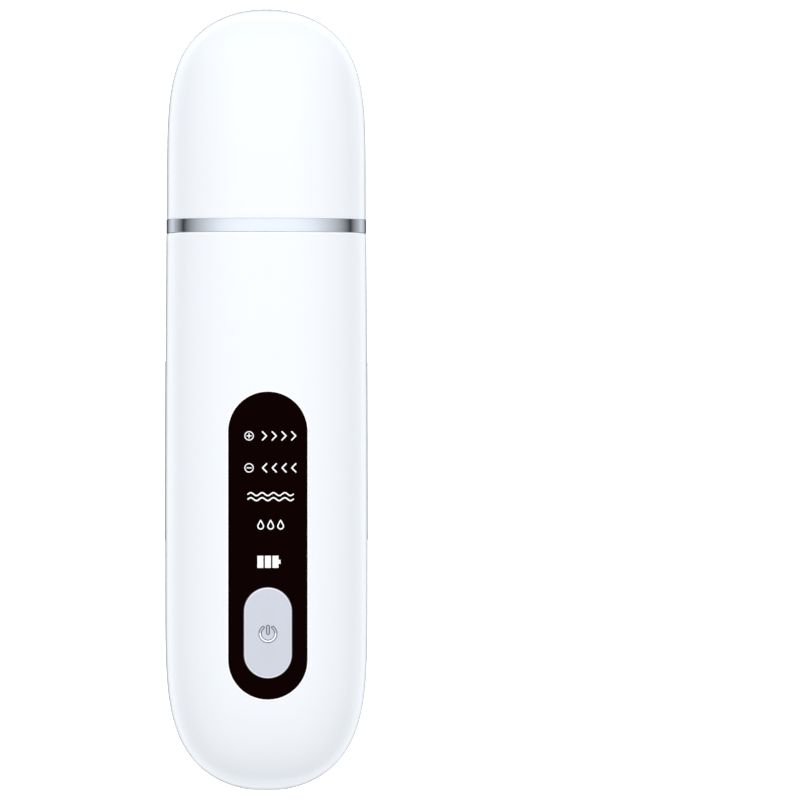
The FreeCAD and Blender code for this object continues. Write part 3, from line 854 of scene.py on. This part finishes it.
def slot_materials():
    """One material for each slot of the record."""
    white = (0.86, 0.875, 0.90)
    return {
        "cap_plastic": material("gloss_white_cap", white, 0.12, grain=90, tint=0.004, bump=0.01,
                                coat=1.0),
        "shell_plastic": material("gloss_white_shell", white, 0.12, grain=90, tint=0.004, bump=0.01,
                                  coat=1.0),
        "neck_plastic": material("satin_white_neck", (0.82, 0.835, 0.86), 0.2, grain=90, tint=0.004,
                                 bump=0.004, spread=0.01),
        "ring_chrome": material("polished_chrome", (0.84, 0.87, 0.93), 0.05, 1.0, grain=250, tint=0.01,
                                spread=0.02, bump=0.004, edge=(0.3, 0.31, 0.34)),
        "lens_black": material("gloss_black_window", (0.0042, 0.0002, 0.0002), 0.2, grain=150, tint=0.1,
                               bump=0.004, specular=0.008),
        "button_silver": material("satin_silver_key", (0.65, 0.66, 0.725), 0.34, 0.65, grain=3000, tint=0.03,
                                  bump=0.05),
        # Painted shade: the blade's steel darkens towards the ring.
        "blade_steel": material("brushed_blade_steel", (0.83, 0.86, 0.94), 0.34, 1.0, grain=260, tint=0.04,
                                bump=0.03, stretch=(1, 22, 22), painted_shade_fade=(RING_HIGH, RING_HIGH + 35 * MM, 0.74)),
        "contact_steel": material("brushed_side_steel", (0.42, 0.43, 0.45), 0.28, 1.0, grain=260, tint=0.06,
                                  bump=0.04, stretch=(22, 1, 22)),
        "seal_silicone": material("pale_silicone", (0.74, 0.76, 0.79), 0.55, grain=900, tint=0.03, bump=0.06),
        "silicone": material("grey_silicone", (0.5, 0.52, 0.54), 0.6, grain=900, tint=0.05, bump=0.08),
        "clamp_aluminium": material("milled_aluminium", (0.66, 0.67, 0.69), 0.35, 1.0, grain=500, tint=0.06,
                                    bump=0.06, stretch=(18, 1, 1)),
        "piezo_ceramic": material("silvered_ceramic", (0.62, 0.58, 0.50), 0.45, 0.4, grain=1500, tint=0.08,
                                  bump=0.08),
        "screw_steel": material("zinc_steel", (0.60, 0.60, 0.62), 0.32, 1.0, grain=1200, tint=0.08,
                                bump=0.05),
        "tape": material("black_film", (0.02, 0.02, 0.02), 0.6, grain=1200, tint=0.2, bump=0.05),
        "black_plastic": material("moulded_black", (0.03, 0.03, 0.033), 0.5, grain=1500, tint=0.2, bump=0.08),
        "switch_brass": material("plated_brass", (0.75, 0.58, 0.28), 0.3, 1.0, grain=700, tint=0.08,
                                 bump=0.04),
        "baffle_plastic": material("moulded_white_frame", (0.80, 0.80, 0.78), 0.5, grain=900, tint=0.03,
                                   bump=0.06),
        "led_body": material("lamp_package", (0.85, 0.80, 0.55), 0.35, grain=1500, tint=0.08, bump=0.03),
        "board_green": material("green_solder_mask", (0.02, 0.16, 0.06), 0.35, grain=600, tint=0.25,
                                bump=0.08),
        "ferrite": material("sintered_ferrite", (0.05, 0.05, 0.055), 0.65, grain=1800, tint=0.3, bump=0.15),
        "capacitor_can": material("drawn_aluminium_can", (0.62, 0.63, 0.65), 0.3, 1.0, grain=500, tint=0.05,
                                  bump=0.04, stretch=(1, 1, 16)),
        "socket_steel": material("drawn_socket_steel", (0.62, 0.63, 0.65), 0.28, 1.0, grain=600, tint=0.05,
                                 bump=0.04),
        "battery_pouch": material("foil_pouch", (0.70, 0.71, 0.73), 0.38, 0.9, grain=220, tint=0.06,
                                  bump=0.25),
        "foam": material("open_foam", (0.04, 0.04, 0.04), 0.9, grain=2500, tint=0.4, bump=0.6),
        "ribbon_amber": material("amber_film", (0.60, 0.28, 0.04), 0.35, grain=500, tint=0.15, bump=0.05),
        "lead_red": material("red_insulation", (0.55, 0.02, 0.02), 0.45, grain=900, tint=0.1, bump=0.05),
        "lead_black": material("black_insulation", (0.02, 0.02, 0.02), 0.45, grain=900, tint=0.1, bump=0.05),
        "label_film": material("blank_silver_film", (0.70, 0.71, 0.73), 0.35, 0.3, grain=1200, tint=0.03,
                               bump=0.03),
    }


def lit(made, strength):
    """Lets the material give off a little white light."""
    shader = made.node_tree.nodes["Principled BSDF"]
    shader.inputs["Emission Color"].default_value = (1, 1, 1, 1)
    shader.inputs["Emission Strength"].default_value = strength
    return made


def extra_materials():
    """Materials of the marks, and of faces with a painted highlight or painted shade."""
    return {
        # White ink lit from behind.
        "ink": lit(material("lit_white_ink", (0.85, 0.85, 0.85), 0.5, grain=2000, tint=0.02,
                            bump=0.02), 0.1),
        # Painted highlight on the white plastic's thin edges: a brighter colour that also gives off a little
        # light.
        "edge": lit(material("painted_highlight_edge", (0.96, 0.965, 0.97), 0.12, grain=90, tint=0.004,
                             bump=0.0, coat=1.0), 0.12),
        # Painted highlight, which gives off a little light, on the key's rim and the lower half of its
        # symbol's floor; painted shade on the walls of its symbol.
        "rim": lit(material("painted_highlight_key_rim", (0.90, 0.91, 0.94), 0.2, 1.0, grain=800, tint=0.01,
                            bump=0.01), 0.22),
        "symbol": material("painted_shade_symbol_wall", (0.42, 0.43, 0.47), 0.3, 1.0, grain=800, tint=0.01,
                           bump=0.01),
        # Painted highlight on the blade's tip and on the lower side of its crease: a brighter steel colour.
        "blade_highlight": material("painted_highlight_blade", (0.90, 0.935, 1.0), 0.3, 1.0, grain=260, tint=0.01,
                           bump=0.02, stretch=(1, 22, 22)),
    }


def paint(piece, made, others=()):
    """Gives the piece its material, and the marked faces the other ones."""
    places = [face.material_index for face in piece.data.polygons]
    piece.data.materials.clear()
    piece.data.materials.append(made)
    for other in others:
        piece.data.materials.append(other)
    if others:
        piece.data.polygons.foreach_set("material_index", places)


# ---- studio ----
# Brightness of the sky by the height of the direction, and of the floor by distance from the handle.
COOL = 1.03
SKY = [(0.0, 0.20), (0.09, 0.12), (0.165, 0.05), (0.25, 0.13), (0.33, 0.21), (0.55, 0.43), (0.76, 0.66),
       (0.857, 0.81), (0.94, 0.98), (1.0, 1.08)]
FAR_GLOW = 0.49
NEAR_GLOW = 0.27
POOL_REACH = 0.3
POOL_IN_GLOSS = 1.4
POOL_IN_BOUNCE = 3.77
POOL = [(0.0, 0.60), (0.13, 0.62), (0.16, 0.63), (0.187, 0.58), (0.27, 0.36), (0.59, 0.24), (1.0, 0.20)]
POOL_SQUEEZE = 0.3
# The handle's shade on the floor: round a spine along y, from full shade to none.
SHADE_SPINE = 50 * MM
SHADE_SQUEEZE = 0.62
SHADE_FROM = 25 * MM
SHADE_TO = 34 * MM
SHADE_LEVEL = 0.15
FLOOR_GLOW = 0.6


def vector_steps(tree, source, steps):
    """Passes source through vector math nodes; LENGTH comes last and gives a number."""
    for operation, operand in steps:
        step = tree.nodes.new("ShaderNodeVectorMath")
        step.operation = operation
        if operand is not None:
            step.inputs[1].default_value = operand
        tree.links.new(source, step.inputs[0])
        source = step.outputs["Value" if operation == "LENGTH" else "Vector"]
    return source


def make_floor():
    """White floor.

    The camera sees it plain. Reflected and bounced rays see a pool of light round the handle's shade,
    which fades outwards.
    """
    mesh = bpy.data.meshes.new("floor")
    builder = bmesh.new()
    bmesh.ops.create_grid(builder, x_segments=8, y_segments=8, size=3.0)
    builder.to_mesh(mesh)
    builder.free()
    floor = new_object("floor", mesh)
    floor.location.z = -0.2 * MM
    made = material("pale_floor", (0.80, 0.81, 0.83), 0.9, grain=30, tint=0.002, bump=0.0, spread=0.02,
                    specular=0.0)
    tree = made.node_tree
    plain = tree.nodes["Principled BSDF"]
    plain.inputs["Emission Color"].default_value = (1, 1, 1, 1)
    plain.inputs["Emission Strength"].default_value = FLOOR_GLOW
    place = tree.nodes.new("ShaderNodeTexCoord").outputs["Object"]
    reach = vector_steps(tree, place, (("MULTIPLY", (1 / POOL_REACH, POOL_SQUEEZE / POOL_REACH, 0)),
                                       ("LENGTH", None)))
    gap = vector_steps(tree, place, (("ABSOLUTE", None), ("SUBTRACT", (0, SHADE_SPINE, 0)),
                                     ("MAXIMUM", (0, 0, 0)), ("MULTIPLY", (1, SHADE_SQUEEZE, 0)),
                                     ("LENGTH", None)))
    ramp = tree.nodes.new("ShaderNodeValToRGB")
    fill_ramp(ramp, POOL)
    shade = tree.nodes.new("ShaderNodeMapRange")
    shade.inputs["From Min"].default_value = SHADE_FROM
    shade.inputs["From Max"].default_value = SHADE_TO
    shade.inputs["To Min"].default_value = SHADE_LEVEL
    dimmed = tree.nodes.new("ShaderNodeVectorMath")
    dimmed.operation = "MULTIPLY"
    pool = tree.nodes.new("ShaderNodeEmission")
    rays = tree.nodes.new("ShaderNodeLightPath")
    level = tree.nodes.new("ShaderNodeMapRange")
    level.inputs["To Min"].default_value = POOL_IN_GLOSS
    level.inputs["To Max"].default_value = POOL_IN_BOUNCE
    tree.links.new(rays.outputs["Is Diffuse Ray"], level.inputs["Value"])
    tree.links.new(level.outputs["Result"], pool.inputs["Strength"])
    mix = tree.nodes.new("ShaderNodeMixShader")
    tree.links.new(reach, ramp.inputs["Fac"])
    tree.links.new(gap, shade.inputs["Value"])
    tree.links.new(ramp.outputs["Color"], dimmed.inputs[0])
    tree.links.new(shade.outputs["Result"], dimmed.inputs[1])
    tree.links.new(dimmed.outputs["Vector"], pool.inputs["Color"])
    tree.links.new(rays.outputs["Is Camera Ray"], mix.inputs["Fac"])
    tree.links.new(pool.outputs["Emission"], mix.inputs[1])
    tree.links.new(plain.outputs["BSDF"], mix.inputs[2])
    tree.links.new(mix.outputs["Shader"], tree.nodes["Material Output"].inputs["Surface"])
    paint(floor, made)
    return floor


def fill_ramp(ramp, stops):
    """Sets a grey ramp's stops from (place, level) pairs."""
    while len(ramp.color_ramp.elements) < len(stops):
        ramp.color_ramp.elements.new(0.5)
    for element, (place, level) in zip(ramp.color_ramp.elements, stops):
        element.position = place
        element.color = (level * (2 - COOL), level, level * COOL, 1)


def make_world():
    """Sky that is bright overhead and dark at the sides, with a glow beyond both ends of the handle."""
    world = bpy.data.worlds.new("studio")
    bpy.context.scene.world = world
    world.use_nodes = True
    tree = world.node_tree
    background = tree.nodes["Background"]
    place = tree.nodes.new("ShaderNodeTexCoord")
    split = tree.nodes.new("ShaderNodeSeparateXYZ")
    sky = tree.nodes.new("ShaderNodeValToRGB")
    fill_ramp(sky, SKY)
    along_y = tree.nodes.new("ShaderNodeMapRange")
    along_y.inputs["From Min"].default_value = -1
    ends = tree.nodes.new("ShaderNodeValToRGB")
    fill_ramp(ends, [(0.0, NEAR_GLOW), (0.12, NEAR_GLOW), (0.33, 0.0),
                     (0.67, 0.0), (0.88, FAR_GLOW), (1.0, FAR_GLOW)])
    total = tree.nodes.new("ShaderNodeMix")
    total.data_type = "RGBA"
    total.blend_type = "ADD"
    total.inputs["Factor"].default_value = 1
    tree.links.new(place.outputs["Generated"], split.inputs["Vector"])
    tree.links.new(split.outputs["Z"], sky.inputs["Fac"])
    tree.links.new(split.outputs["Y"], along_y.inputs["Value"])
    tree.links.new(along_y.outputs["Result"], ends.inputs["Fac"])
    tree.links.new(sky.outputs["Color"], total.inputs["A"])
    tree.links.new(ends.outputs["Color"], total.inputs["B"])
    tree.links.new(total.outputs["Result"], background.inputs["Color"])


def make_lights():
    """Soft boxes overhead and at both sides, which the gloss doesn't show."""
    lamps = (("overhead", (0, 0.35, 1.1), 0.5, 4.36),
             ("right_box", (1.2, 0, 0.35), 0.7, 2.2),
             ("left_box", (-1.2, 0, 0.35), 0.7, 2.2))
    for name, place, size, power in lamps:
        lamp = bpy.data.lights.new(name, "AREA")
        lamp.size = size
        lamp.energy = power
        holder = bpy.data.objects.new(name, lamp)
        holder.location = place
        holder.rotation_euler = Vector(place).to_track_quat("Z", "Y").to_euler()
        holder.visible_glossy = False
        bpy.context.scene.collection.objects.link(holder)


def make_camera():
    """Long lens over the front; it looks a little to the right, so the device stands left."""
    distance = 1.25
    stand_x = -30.0 * MM
    aim_x = 29.8 * MM
    frame_width = 178.24 * MM
    camera = bpy.data.cameras.new("camera")
    camera.sensor_width = 36.0
    camera.lens = camera.sensor_width * distance / frame_width
    camera.clip_start = 0.05
    camera.clip_end = 20
    holder = bpy.data.objects.new("camera", camera)
    bpy.context.scene.collection.objects.link(holder)
    holder.location = (stand_x, 0, MID + distance)
    holder.rotation_euler = (0, -math.atan2(aim_x - stand_x, distance), 0)
    bpy.context.scene.camera = holder


def main():
    slots = slot_materials()
    extra = extra_materials()
    pieces = ((make_front_shell(), "shell_plastic", ["edge"]),
              (make_rear_shell(), "shell_plastic", ["edge"]),
              (make_cap(), "cap_plastic", ["edge"]),
              (make_ring(), "ring_chrome", []),
              (make_lens(), "lens_black", []),
              (make_button(), "button_silver", ["rim", "symbol"]),
              (make_neck(), "neck_plastic", []),
              (make_blade(), "blade_steel", ["blade_highlight"]))
    for piece, slot, others in pieces:
        paint(piece, slots[slot], [extra[other] for other in others])
    for piece in make_marks():
        paint(piece, extra["ink"])
    for entry in frame["record"]["subparts"]:
        paint(nodes[entry["node"]], slots[entry["material_slot"]])
    make_floor()
    make_world()
    make_lights()
    make_camera()
    bpy.context.scene.view_settings.view_transform = "Standard"


main()
